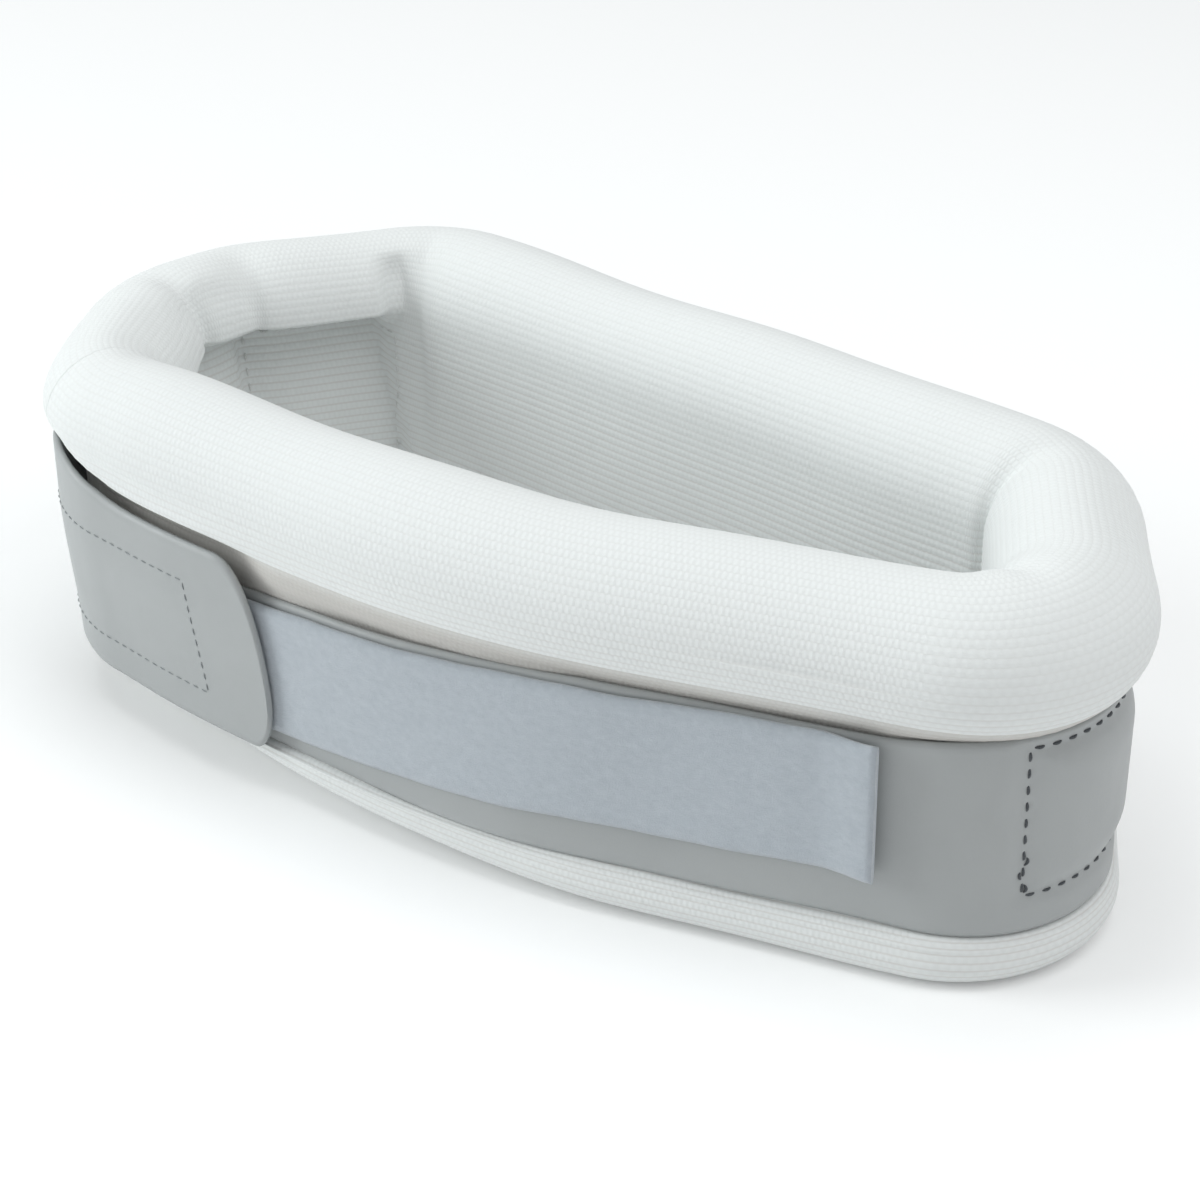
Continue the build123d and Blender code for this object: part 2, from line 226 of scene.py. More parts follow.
# ---- materials ----------------------------------------------------------------------------
class Nodes:
    """A principled material and short calls that add nodes to it."""

    def __init__(self, name, roughness, sheen=0.0, sheen_roughness=0.5, specular=0.5):
        self.material = bpy.data.materials.new(name)
        self.material.use_nodes = True
        self.tree = self.material.node_tree
        self.shader = self.tree.nodes["Principled BSDF"]
        self.shader.inputs["Roughness"].default_value = roughness
        self.shader.inputs["Specular IOR Level"].default_value = specular
        self.shader.inputs["Sheen Weight"].default_value = sheen
        self.shader.inputs["Sheen Roughness"].default_value = sheen_roughness

    def link(self, value, socket):
        """Links an output, or sets a plain value."""
        if isinstance(value, bpy.types.NodeSocket):
            self.tree.links.new(value, socket)
        else:
            socket.default_value = value

    def math(self, operation, a, b=0.0, c=0.0):
        """A math node's result."""
        node = self.tree.nodes.new("ShaderNodeMath")
        node.operation = operation
        for value, socket in zip((a, b, c), node.inputs):
            self.link(value, socket)
        return node.outputs[0]

    def weave(self):
        """Length round the collar, length round the section and height, in metres."""
        node = self.tree.nodes.new("ShaderNodeAttribute")
        node.attribute_name = "weave"
        split = self.tree.nodes.new("ShaderNodeSeparateXYZ")
        self.tree.links.new(node.outputs["Vector"], split.inputs[0])
        return split.outputs[0], split.outputs[1], split.outputs[2]

    def noise(self, scale, detail=2.0, roughness=0.5, stretch=None):
        """Noise in the object's own space, from 0 to 1."""
        node = self.tree.nodes.new("ShaderNodeTexNoise")
        coordinate = self.tree.nodes.new("ShaderNodeTexCoord")
        mapping = self.tree.nodes.new("ShaderNodeMapping")
        self.tree.links.new(coordinate.outputs["Object"], mapping.inputs["Vector"])
        if stretch:
            mapping.inputs["Scale"].default_value = stretch
        self.tree.links.new(mapping.outputs["Vector"], node.inputs["Vector"])
        node.inputs["Scale"].default_value = scale
        node.inputs["Detail"].default_value = detail
        node.inputs["Roughness"].default_value = roughness
        return node.outputs["Fac"]

    def ramp(self, value, low, high, colour_low, colour_high):
        """Colour between two, as a value goes from low to high."""
        node = self.tree.nodes.new("ShaderNodeValToRGB")
        self.link(value, node.inputs["Fac"])
        first, last = node.color_ramp.elements
        first.position, last.position = low, high
        first.color, last.color = (*colour_low, 1), (*colour_high, 1)
        return node.outputs["Color"]

    def mix(self, factor, a, b):
        """Colour a turned towards colour b."""
        node = self.tree.nodes.new("ShaderNodeMix")
        node.data_type = "RGBA"
        self.link(factor, node.inputs["Factor"])
        self.link(a if isinstance(a, bpy.types.NodeSocket) else (*a, 1), node.inputs["A"])
        self.link(b if isinstance(b, bpy.types.NodeSocket) else (*b, 1), node.inputs["B"])
        return node.outputs["Result"]

    def bump(self, height, distance, strength=1.0, normal=None):
        """Bump of a height from 0 to 1 that stands a distance high."""
        node = self.tree.nodes.new("ShaderNodeBump")
        node.inputs["Distance"].default_value = distance
        node.inputs["Strength"].default_value = strength
        self.link(height, node.inputs["Height"])
        if normal is not None:
            self.tree.links.new(normal, node.inputs["Normal"])
        return node.outputs["Normal"]

    def finish(self, colour, normal=None, roughness=None):
        """Links the colour, the normal and the roughness."""
        self.link(colour, self.shader.inputs["Base Color"])
        if normal is not None:
            self.tree.links.new(normal, self.shader.inputs["Normal"])
        if roughness is not None:
            self.link(roughness, self.shader.inputs["Roughness"])
        return self.material


WOOL, SHADED_WOOL = (0.785, 0.81, 0.805), (0.50, 0.475, 0.44)


def knit_material():
    """Ribbed stockinette: purl valleys between ribs with painted shade in them that fades out on the
    crown, a row of small stitches on each rib, and painted shade under the roll's lip.
    """
    n = Nodes("knitted_stockinette", 0.95, sheen=0.25, sheen_roughness=0.6, specular=0.15)
    along, across, height_up = n.weave()
    rib = n.math("DIVIDE", across, RIB_PITCH)
    crest = n.math("ABSOLUTE", n.math("SINE", n.math("MULTIPLY", rib, pi)))
    half_step = n.math("MULTIPLY", n.math("FLOOR", rib), 0.5)
    shifted = n.math("ADD", n.math("DIVIDE", along, COURSE_PITCH), half_step)
    course = n.math("MULTIPLY_ADD", n.math("SINE", n.math("MULTIPLY", shifted, 2 * pi)), 0.5, 0.5)
    fuzz = n.noise(2600.0, 3.0, 0.65)
    cloud = n.noise(55.0, 2.0, 0.5)
    height = n.math("ADD", n.math("MULTIPLY", course, 0.55), n.math("MULTIPLY", fuzz, 0.6))
    height = n.math("ADD", height, n.math("MULTIPLY", crest, 0.35))
    # painted shade: the rib valleys are coloured darker, and less so towards the crown where the light
    # falls full
    painted_valley_shade = n.ramp(crest, 0.05, 0.55, (0.70, 0.70, 0.68), WOOL)
    on_crown = n.math("MULTIPLY_ADD", height_up, 80.0, -4.4)
    on_crown = n.math("MULTIPLY", n.math("MINIMUM", n.math("MAXIMUM", on_crown, 0.0), 1.0), 0.8)
    painted_valley_shade = n.mix(on_crown, painted_valley_shade, WOOL)
    stitch = n.mix(n.math("MULTIPLY", n.math("SUBTRACT", 1.0, course), 0.12), painted_valley_shade, (0.62, 0.63, 0.62))
    tone_and_painted_shade = n.mix(n.math("MULTIPLY", cloud, 0.08), stitch, (0.74, 0.74, 0.72))
    # painted shade: under the roll's lip, where little light comes, the knit is turned towards a darker,
    # warmer shaded colour
    below = n.math("MULTIPLY_ADD", height_up, -110.0, 6.75)
    painted_shade_under_lip = n.math("MULTIPLY", n.math("LESS_THAN", across, 0.026), below)
    above = n.math("MINIMUM", n.math("MAXIMUM", n.math("MULTIPLY_ADD", height_up, 180.0, -6.5), 0.0), 1.0)
    painted_shade_under_lip = n.math("MULTIPLY", n.math("MINIMUM", n.math("MAXIMUM", painted_shade_under_lip, 0.0), 0.8), above)
    tone_and_painted_shade = n.mix(painted_shade_under_lip, tone_and_painted_shade, SHADED_WOOL)
    return n.finish(tone_and_painted_shade, n.bump(height, 0.00016, 0.6))


def foam_material():
    """Open-cell foam."""
    n = Nodes("open_cell_foam", 0.95, specular=0.1)
    cells = n.noise(1800.0, 4.0, 0.7)
    colour = n.ramp(cells, 0.35, 0.65, (0.62, 0.58, 0.47), (0.83, 0.80, 0.70))
    return n.finish(colour, n.bump(cells, 0.0006, 0.8))


def vinyl_material():
    """Soft grey vinyl with a fine calendered grain."""
    n = Nodes("grey_vinyl", 0.42, specular=0.45)
    grain = n.noise(2300.0, 3.0, 0.6)
    pores = n.noise(6000.0, 1.0, 0.5)
    cloud = n.noise(38.0, 3.0, 0.55)
    scuff = n.noise(240.0, 4.0, 0.6, (1.0, 1.0, 0.25))
    colour = n.ramp(cloud, 0.3, 0.7, (0.375, 0.392, 0.394), (0.405, 0.423, 0.425))
    colour = n.mix(n.math("MULTIPLY", grain, 0.14), colour, (0.32, 0.345, 0.35))
    height = n.math("ADD", n.math("MULTIPLY", grain, 0.7), n.math("MULTIPLY", pores, 0.3))
    rough = n.math("MULTIPLY_ADD", scuff, 0.22, 0.34)
    return n.finish(colour, n.bump(height, 0.00012, 0.5), rough)


def loop_material():
    """Brushed loop pile."""
    n = Nodes("brushed_loop_pile", 0.92, sheen=0.55, sheen_roughness=0.45, specular=0.2)
    pile = n.noise(3200.0, 4.0, 0.7)
    nap = n.noise(620.0, 4.0, 0.7, (0.8, 0.8, 1.2))
    colour = n.ramp(nap, 0.3, 0.7, (0.445, 0.492, 0.538), (0.52, 0.565, 0.61))
    colour = n.mix(n.math("MULTIPLY", pile, 0.30), colour, (0.385, 0.43, 0.475))
    height = n.math("ADD", n.math("MULTIPLY", pile, 0.7), n.math("MULTIPLY", nap, 0.5))
    return n.finish(colour, n.bump(height, 0.0004, 0.8))


def hook_material():
    """Woven base and stiff hooks of the hook tape."""
    n = Nodes("hook_nylon", 0.45, specular=0.5)
    weave = n.noise(2600.0, 2.0, 0.5, (1.0, 1.0, 3.0))
    colour = n.ramp(weave, 0.3, 0.7, (0.26, 0.29, 0.30), (0.36, 0.39, 0.40))
    return n.finish(colour, n.bump(weave, 0.0002, 0.6))


def thread_material(name, dark, light):
    """Twisted sewing thread."""
    n = Nodes(name, 0.7, sheen=0.2, specular=0.3)
    strands = n.noise(5200.0, 2.0, 0.6)
    colour = n.ramp(strands, 0.3, 0.7, dark, light)
    return n.finish(colour, n.bump(strands, 0.0001, 0.7))


KNIT = knit_material()
FOAM = foam_material()
VINYL = vinyl_material()
PILE = loop_material()
HOOKS = hook_material()
DARK_THREAD = thread_material("dark_sewing_thread", (0.045, 0.05, 0.055), (0.11, 0.12, 0.13))
GREY_THREAD = thread_material("grey_sewing_thread", (0.25, 0.27, 0.275), (0.33, 0.355, 0.36))
PALE_THREAD = thread_material("pale_sewing_thread", (0.60, 0.61, 0.60), (0.80, 0.81, 0.80))


# ---- padded bar ---------------------------------------------------------------------------
def arc_points(centre, radius, start, end):
    """Points of an arc in the section, from one angle to another."""
    count = max(3, int(abs(radians(end - start)) * radius / 0.0003))
    angles = np.radians(np.linspace(start, end, count))
    return np.column_stack([centre[0] + radius * np.cos(angles), centre[1] + radius * np.sin(angles)])


def section():
    """Outline of the bar, once round from behind the band, and the length along it."""
    crown = HEIGHT - ROLL_RADIUS
    drop = crown - BAND_TOP
    lip_radius = (LIP ** 2 + drop ** 2) / (2 * LIP)
    lip_angle = degrees(np.arcsin(drop / lip_radius))
    foot = BAND_BOTTOM / 2
    outline = np.vstack([
        [[WALL, (BAND_BOTTOM + BAND_TOP) / 2]],
        arc_points((2 * ROLL_RADIUS - lip_radius, crown), lip_radius, -lip_angle, 0),
        arc_points((ROLL_RADIUS, crown), ROLL_RADIUS, 0, 180),
        arc_points((FOOT_RADIUS, FOOT_RADIUS), FOOT_RADIUS, 180, 270),
        arc_points((WALL, foot), foot, -90, 90)])
    closed = np.vstack([outline, outline[:1]])
    run = np.concatenate([[0], np.cumsum(np.linalg.norm(np.diff(closed, axis=0), axis=1))])
    count = int(run[-1] / 0.00025)
    even = np.linspace(0, run[-1], count, endpoint=False)
    points = np.column_stack([np.interp(even, run, closed[:, k]) for k in (0, 1)])
    reach = 20                # points either side that soften the joins between the arcs
    kernel = np.exp(-0.5 * (np.arange(-reach, reach + 1) / 5.0) ** 2)
    kernel /= kernel.sum()
    for k in (0, 1):
        wrapped = np.concatenate([points[-reach:, k], points[:, k], points[:reach, k]])
        points[:, k] = np.convolve(wrapped, kernel, "valid")
    return points, run[-1]


OUTLINE, ROUND = section()
RIBS = int(round(ROUND / RIB_PITCH))


def sampled_section(per_rib, hidden_step):
    """Section points: several to a rib where it shows, fewer behind the band."""
    run = np.linspace(0, ROUND, len(OUTLINE), endpoint=False)
    wanted, position = [], 0.0
    pitch = ROUND / RIBS
    while position < ROUND - 1e-9:
        z = np.interp(position, run, OUTLINE[:, 1])
        out = np.interp(position, run, OUTLINE[:, 0])
        hidden = out > WALL - 0.001 and BAND_BOTTOM + 0.003 < z < BAND_TOP - 0.003
        wanted.append(position)
        position += hidden_step if hidden else pitch / per_rib
    wanted = np.array(wanted)
    looped = np.vstack([OUTLINE, OUTLINE[:1]])
    run = np.append(run, ROUND)
    points = np.column_stack([np.interp(wanted, run, looped[:, k]) for k in (0, 1)])
    beside = 0.0006
    ahead = np.column_stack([np.interp((wanted + beside) % ROUND, run, looped[:, k]) for k in (0, 1)])
    behind = np.column_stack([np.interp((wanted - beside) % ROUND, run, looped[:, k]) for k in (0, 1)])
    tangent = ahead - behind
    tangent /= np.linalg.norm(tangent, axis=1, keepdims=True)
    outward = np.column_stack([tangent[:, 1], -tangent[:, 0]])
    return points, outward, wanted


LEAN = 0.0018                 # one step of the lean at the near left corner


def lean(s, z):
    """How far the wall's outside leans in at its foot, round the near left corner."""
    around = min(s, TOTAL - s)
    tilt = LEAN * hump(around, 0.060) * ease((0.046 - z) / 0.034)
    return -tilt - (LEAN + LEAN * ease((0.068 - z) / 0.006)) * hump(around, 0.024)


# ---- what the bar is shaped round ---------------------------------------------------------
# loop tape: level along the right of the near wall, dipping towards the near left corner
LOOP_START_X, LOOP_LEVEL_X, LOOP_END_X = -0.078, 0.039, 0.0968
LOOP_LOW, LOOP_HIGH, TAPE_WIDTH = 0.0122, 0.0210, 0.0295
PULL_X, TIP_X, TIP_Z = -0.0440, -0.0308, 0.0225    # the free end's hinge and tip
TAB_LOW, TAB_HIGH = 0.0118, 0.0547
CORNER_RISE = 0.0055          # the tab and the roll above it rise this much at the near left corner


def length_at_x(x, out):
    """Length along the near wall's straight at one x, at a distance out."""
    point, along = STRETCHES[1][1] + ray(STRETCHES[1][3]) * out, STRETCHES[1][2]
    return NEAR_FACE + (x - point[0]) / along[0]


def x_at_length(s, out):
    """One x along the near wall's straight, at a length and a distance out."""
    point, along = STRETCHES[1][1] + ray(STRETCHES[1][3]) * out, STRETCHES[1][2]
    return point[0] + (s - NEAR_FACE) * along[0]


def length_with_x(x, out):
    """Length at which the near wall's face, a distance out, passes one x."""
    fine = np.linspace(0.0, AT_NEAR_RIGHT, 3000)
    found = np.array([(wall(s)[0] + ray(wall(s)[1]) * out)[0] for s in fine])
    return float(np.interp(x, found, fine))


LOOP_FIRST, LOOP_LAST = length_with_x(LOOP_START_X, LOOP_OUT), length_with_x(LOOP_END_X, LOOP_OUT)
LOOP_END = LOOP_LAST + 0.004  # the band's top is back at its own height after this

PANEL_LOW, PANEL_HIGH = 0.0225, 0.0600             # the stitched panel inside the back left wall
PANEL_DEEP_LOW, PANEL_DEEP_HIGH = 0.012, 0.017     # how far back it stands at its foot and its top
PANEL_FOLD_X, PANEL_FOLD_SLANT = -0.0785, 0.0095   # where it meets the far wall, and the fold's slant
# folds of the inner face: length round the collar, depth and width
FOLDS = [(AT_FAR_LEFT, 0.0004, 0.0034), (AT_BACK_LEFT, 0.0012, 0.0055), (AT_LEFT, 0.0016, 0.0035),
         (AT_NEAR_RIGHT, 0.0012, 0.0030), (AT_FAR_RIGHT, 0.0014, 0.0030)]


def recess(s, out, z):
    """How far back the inner face stands on the left: the far wall runs on past its fold, then come
    the stitched panel and the hollow after it."""
    if not STARTS[2 * FAR_LEFT] < s < AT_LEFT + 0.022:
        return np.zeros_like(out)
    point, angle = wall(s)
    reach = (CORNERS[FAR_LEFT][1] - point[1]) / max(sin(radians(angle)), 0.3)
    x = point[0] + reach * cos(radians(angle))
    share = np.clip((z - PANEL_LOW) / (PANEL_HIGH - PANEL_LOW), 0, 1)
    high = ease((z - 0.058) / 0.008)
    fold_x = PANEL_FOLD_X - PANEL_FOLD_SLANT * share
    past = ease((fold_x - x) / (0.003 + 0.005 * high) + 0.5)
    deep = PANEL_DEEP_LOW + (PANEL_DEEP_HIGH - PANEL_DEEP_LOW) * share - 0.0022 * np.sin(pi * share)
    deep = deep * ease((z - 0.006) / (PANEL_LOW - 0.006)) * (1 - ease((z - PANEL_HIGH) / 0.0065))
    deep = deep * (1 - 0.2 * ease((s - AT_BACK_LEFT) / 0.003))
    deep = deep + 0.0022 * high * ease((s - AT_BACK_LEFT + 0.008) / 0.020)
    deep = deep * (1 - ease((s - AT_LEFT - 0.004) / 0.018))
    run_on = np.minimum(reach, 0.010 - 0.006 * high) * ease((z - 0.003) / 0.012)
    return run_on * (1 - past) + deep * past


def band_top(s):
    """Top of the band: along the near wall it follows the loop tape's top edge."""
    share = np.clip((x_at_length(s, LOOP_OUT) - LOOP_START_X) / (LOOP_LEVEL_X - LOOP_START_X), 0, 1)
    over_tape = LOOP_LOW + (LOOP_HIGH - LOOP_LOW) * share + TAPE_WIDTH + 0.0014
    return over_tape + (BAND_TOP - over_tape) * ease((s - LOOP_END + 0.004) / 0.016)


def corner_rise(past):
    """How much higher the tab's top is at a length past the closing plane."""
    return CORNER_RISE * hump(past + 0.004, 0.012)


def lip_push(s, out, z):
    """How far the roll's underside moves out to come down to the band's top, or to the tab's."""
    crown = HEIGHT - ROLL_RADIUS
    outer = ease((out - 0.021) / 0.003)
    # over the band
    top = band_top(s) if s < AT_FAR_RIGHT else BAND_TOP
    up = np.clip((z - top) / (crown - top), 0, 1)
    lower = (z > top - 0.001) * (z < crown)
    on_band = WALL + LIP * (1 - (1 - up) ** 2)
    # over the tab, where it covers the near left corner
    under_tab = ease((TIP_X + 0.006 - x_at_length(s, LOOP_OUT)) / 0.022) if s < AT_NEAR_RIGHT else 0.0
    under_tab = max(under_tab, hump(TOTAL - s, 0.028))
    from_corner = s if s < TOTAL / 2 else s - TOTAL
    tab_top = TAB_HIGH + 0.0006 + corner_rise(from_corner)
    over_tab = np.clip((z - tab_top) / 0.0045, 0, 1)
    on_tab = WALL + LIP * (1 - (1 - over_tab) ** 2)
    change = (1 - under_tab) * np.maximum(on_band - out, 0) + under_tab * (on_tab - out) * (z > 0.050)
    return outer * lower * change


def bar_shape(s, out, z, outward, run):
    """The section's points at a length s, pressed, folded, drawn in and puffed as the real bar is."""
    out, z = out.copy(), z.copy()
    inner_side = ease((0.024 - out) / 0.020)
    upper = ease((z - 0.030) / 0.020)
    swell = 0.00030 * (np.sin(61 * s + 21 * run) + np.sin(97 * s - 34 * run + 1.3) + np.sin(23 * s + 1.1))
    swell *= ease(min(s, TOTAL - s) / 0.025)
    sink = np.zeros_like(out)
    for where, depth, width in FOLDS:
        sink += depth * hump(s - where, width) * (inner_side * (0.35 + 0.65 * upper))
        sink -= 0.25 * depth * (hump(s - where - 2.6 * width, 1.6 * width)
                                + hump(s - where + 2.6 * width, 1.6 * width)) * inner_side
    out += outward[:, 0] * (swell - sink)
    z += outward[:, 1] * (swell - sink)
    out += recess(s, out, z) * ease((0.010 - out) / 0.008)
    out += lip_push(s, out, z)
    out -= 0.0018 * ease((BAND_BOTTOM - z) / 0.004) * ease((out - 0.020) / 0.004)
    # the lower roll rises towards the left end, on both sides of the plane where the ends meet
    lift = 0.0072 * max(1 - ease((s - 0.010) / 0.150), 1 - ease((TOTAL - s - 0.004) / 0.055))
    low = np.clip(1 - z / BAND_BOTTOM, 0, 1)
    z += lift * low
    out -= 0.35 * lift * ease(low / 0.3) * ease((out - 0.010) / 0.012)
    out += lean(s, z) * ease((out - 0.010) / 0.012)
    return out, np.maximum(z, 0.0002)


# a dished end: distance from the closing plane, and how far the section is drawn in there
END_ROUNDING = [(0.0014, 0.0034), (0.0008, 0.0016), (0.0001, 0.0003), (0.0, 0.00015), (0.0001, 0.00005),
                (0.0004, 0.0)]


def bar_piece(name, first, last, per_rib, step, inset=0.0, ribbed=False, round_first=False,
              round_last=False):
    """A length of the bar; a rounded end is where the bar stops, a plain end meets its other part."""
    points, outward, run = sampled_section(per_rib, 0.004)
    stations = [(s, 0.0) for s in close_ends(spaced(first, last, step, 0.024))]
    if round_first:
        opening = [(first + a, b) for a, b in END_ROUNDING]
        stations = opening + [st for st in stations if st[0] > first + 0.003]
    if round_last:
        closing = [(last - a, b) for a, b in END_ROUNDING[::-1]]
        stations = [st for st in stations if st[0] < last - 0.003] + closing
    ribs = RIB_DEPTH * (np.abs(np.sin(pi * run * RIBS / ROUND)) - 0.6) if ribbed else np.zeros_like(run)
    rings, weave = [], []
    for s, drawn in stations:
        out, z = bar_shape(s, points[:, 0], points[:, 1], outward, run)
        if inset:
            near_by = [bar_shape(s + step_off, points[:, 0], points[:, 1], outward, run)[0]
                       for step_off in (-0.0024, -0.0012, 0.0012, 0.0024)]
            out = np.where(points[:, 0] < 0.012, np.max([out, *near_by], axis=0), out)
        push = ribs * (1 - 0.8 * ease((z - 0.056) / 0.012)) - drawn - inset
        out, z = out + outward[:, 0] * push, z + outward[:, 1] * push
        rings.append(place(s, out, z))
        weave.append(np.column_stack([np.full_like(run, s), run * RIB_PITCH * RIBS / ROUND, z]))
    return skin_rings(name, rings, np.vstack(weave))


def fold_blend(piece):
    """Bakes the piece's placement into its mesh."""
    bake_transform(piece)


cover_main = bar_piece("ribbed_cover", 0.0, AT_FAR_LEFT, per_rib=5, step=0.0032, ribbed=True,
                       round_first=True)
dress(cover_main, KNIT, ["cover_main"])
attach(cover_main, "main")

cover_left = bar_piece("ribbed_cover_left_end", AT_FAR_LEFT, TOTAL, per_rib=5, step=0.0011, ribbed=True,
                       round_last=True)
dress(cover_left, KNIT, ["cover_left_end"])
fold_blend(cover_left)

foam_main = bar_piece("foam_bar", FOAM_END, AT_FAR_LEFT - 0.0001, per_rib=1, step=0.006, inset=SKIN,
                      round_first=True)
dress(foam_main, FOAM, ["foam_core_main"])
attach(foam_main, "main")

foam_left = bar_piece("foam_bar_left_end", AT_FAR_LEFT + 0.0001, TOTAL - FOAM_END, per_rib=1,
                      step=0.0015, inset=SKIN, round_last=True)
dress(foam_left, FOAM, ["foam_core_left_end"])
fold_blend(foam_left)


# ---- strips -------------------------------------------------------------------------------
def strip_piece(name, stations, outward_at, edges_at, thickness, rows, round_edge=0.0005, placing=place):
    """A strip along the wall: its inner face's distance out and its edges are functions of the length."""
    rings = []
    for s in stations:
        low, high = edges_at(s)
        z = np.linspace(low, high, rows)
        inner = outward_at(s, z)
        soft = round_edge * np.maximum(hump(z - low, 0.0004), hump(z - high, 0.0004))
        outer = inner + thickness - soft
        inner = inner + soft * 0.5
        rings.append(placing(s, np.concatenate([outer, inner[::-1]]), np.concatenate([z, z[::-1]])))
    return skin_rings(name, rings)


# stitched rectangles: first and last length, lowest and highest point
RIGHT_BOX = (length_at(NEAR_RIGHT, -31.0), STARTS[2 * NEAR_RIGHT + 1] + 0.0037, BOX_LOW, BOX_HIGH)
BACK_BOX = (AT_FAR_LEFT + 0.0052, AT_BACK_LEFT - 0.0042, BOX_LOW, BOX_HIGH)


def box_relief(s, z, box, pinch, puff):
    """Height of a strip's face round a stitched rectangle: drawn in at the thread, puffed inside."""
    left, right, low, high = box
    inside = min(s - left, right - s)
    level = np.minimum(z - low, high - z)
    nearest = np.minimum(inside, level)
    drawn = -pinch * hump(nearest, 0.0016)
    return drawn + puff * ease(nearest / 0.007) * (nearest > 0)


def band_face(s, z):
    """Inner face of the vinyl band."""
    waves = 0.00018 * (np.sin(70 * s + 45 * z) + np.sin(131 * s - 70 * z + 0.7))
    face = BAND_IN + 0.0003 + waves + lean(s, z)
    face = face + box_relief(s, z, RIGHT_BOX, 0.0009, 0.0013)
    return face + box_relief(s, z, BACK_BOX, 0.0010, 0.0005)


def band_edges(s):
    """Lowest and highest point of the band."""
    top = band_top(s) if s < AT_FAR_RIGHT else BAND_TOP
    return BAND_BOTTOM + 0.0003 * sin(43 * s), top + 0.0003 * sin(37 * s + 1)


TAB_ROOT = LEFT_FACE + 0.0005  # the band ends here and the tab goes on
band = strip_piece("vinyl_band", close_ends(spaced(0.0012, AT_FAR_LEFT, 0.0016, BAND_OUT)), band_face,
                   band_edges, BAND, rows=40)
dress(band, VINYL, ["band_main"])
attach(band, "main")

band_left = strip_piece("vinyl_band_left_end", close_ends(spaced(AT_FAR_LEFT, TAB_ROOT, 0.0016, BAND_OUT)),
                        band_face, band_edges, BAND, rows=40)
dress(band_left, VINYL, ["band_left_end"])
fold_blend(band_left)

# ---- closure tab --------------------------------------------------------------------------
TAB_SPLIT = TOTAL - 0.011     # the lapping part's own piece starts here, before the near left corner
HEEL = 0.005                  # length of the rounding at the foot of the tip


def tab_face(s, z):
    """Inner face of the tab. Lengths past the closing plane run on along the near wall."""
    rise = ease((s - TAB_ROOT - 0.0035) / 0.0085)
    lying = band_face(s, z)
    along = s - TOTAL if s > TOTAL else s
    lifted = TAB_IN - 0.0008 + 0.0002 * np.sin(60 * s + 40 * z) + lean(along, z)
    return lying * (1 - rise) + lifted * rise


def tab_place(s, out, z):
    """Points beside the wall for a length that may run past the closing plane."""
    return place(s - TOTAL if s > TOTAL else s, out, z)


def tab_edges(s):
    """Lowest and highest point of the tab: it spreads from the band's width to its own."""
    spread = ease((s - TAB_ROOT) / 0.012)
    low, high = band_edges(s)
    low, high = low * (1 - spread) + TAB_LOW * spread, high * (1 - spread) + TAB_HIGH * spread
    high += corner_rise(s - TOTAL)
    x = x_at_length(s - TOTAL, TAB_OUT) if s > TOTAL else CORNERS[NEAR_LEFT][0]
    top_turn = np.clip((x - PULL_X - 0.0005) / (TIP_X - PULL_X - 0.0005), 0, 1)
    heel_turn = np.clip((x - (TIP_X - HEEL)) / HEEL, 0, 1)
    high = TIP_Z + (high - TIP_Z) * (1 - top_turn ** 2.3) ** (1 / 2.1)
    low = TIP_Z - (TIP_Z - low) * (1 - heel_turn ** 2) ** 0.5
    return low, high


tab = strip_piece("vinyl_tab", close_ends(spaced(TAB_ROOT, TAB_SPLIT, 0.0012, TAB_OUT)), tab_face,
                  tab_edges, BAND, rows=34, placing=tab_place)
dress(tab, VINYL, ["closure_tab"])
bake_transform(tab)

# stations of the lapping part: across the corner, along the near wall, and close together at the tip
LAPPING = list(spaced(TAB_SPLIT, TOTAL, 0.0010, TAB_OUT))
LAPPING += [TOTAL + s for s in spaced(0.0, length_at_x(TIP_X - 0.010, TAB_OUT), 0.0012, TAB_OUT)][1:]
LAPPING += [TOTAL + length_at_x(TIP_X - back, TAB_OUT)
            for back in (0.009, 0.008, 0.007, 0.006, 0.005, 0.004, 0.003, 0.002, 0.001, 0.0004, 0.00006)]
pull = strip_piece("vinyl_pull_end", close_ends(LAPPING), tab_face, tab_edges, BAND, rows=34,
                   placing=tab_place)
dress(pull, VINYL, ["pull_end"])
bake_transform(pull)


# ---- loop tape, laid on the band ----------------------------------------------------------
def loop_face(s, z):
    """Inner face of the loop tape, lifted a little at its cut right end."""
    lifted = 0.0022 * ease((s - LOOP_LAST + 0.012) / 0.012)
    return band_face(s, z) + BAND + 0.0001 + lifted


def loop_edges(s):
    """Lowest and highest point of the loop tape."""
    point, angle = wall(s)
    x = (point + ray(angle) * LOOP_OUT)[0]
    share = np.clip((x - LOOP_START_X) / (LOOP_LEVEL_X - LOOP_START_X), 0, 1)
    low = LOOP_LOW + (LOOP_HIGH - LOOP_LOW) * share + 0.0018 * ease((x - LOOP_LEVEL_X) / 0.055)
    wander = 0.00010 * sin(150 * s) + 0.00006 * sin(411 * s + 2)
    return low + wander, low + TAPE_WIDTH - wander


loop = strip_piece("loop_pile_strip", spaced(LOOP_FIRST, LOOP_LAST, 0.0016, LOOP_OUT), loop_face,
                   loop_edges, LOOP_OUT - LOOP_IN, rows=24, round_edge=0.0007)
dress(loop, PILE, ["loop_tape"])
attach(loop, "main")

# ---- hook tape, sewn inside the tab -------------------------------------------------------
# its lower edge, and its two ends as a length round the collar and an x
HOOK_LOW, HOOK_FIRST, HOOK_LAST_X = 0.0180, TOTAL - 0.0062, -0.0445
HOOK_TAPE = 0.0009            # woven base; the hooks stand on it
HALF_WIRE = 0.00009           # half of a hook's thickness


def hook_face(s, z):
    """Face of the hook tape's base that carries the hooks."""
    return tab_face(s, z) - 0.0001 - HOOK_TAPE


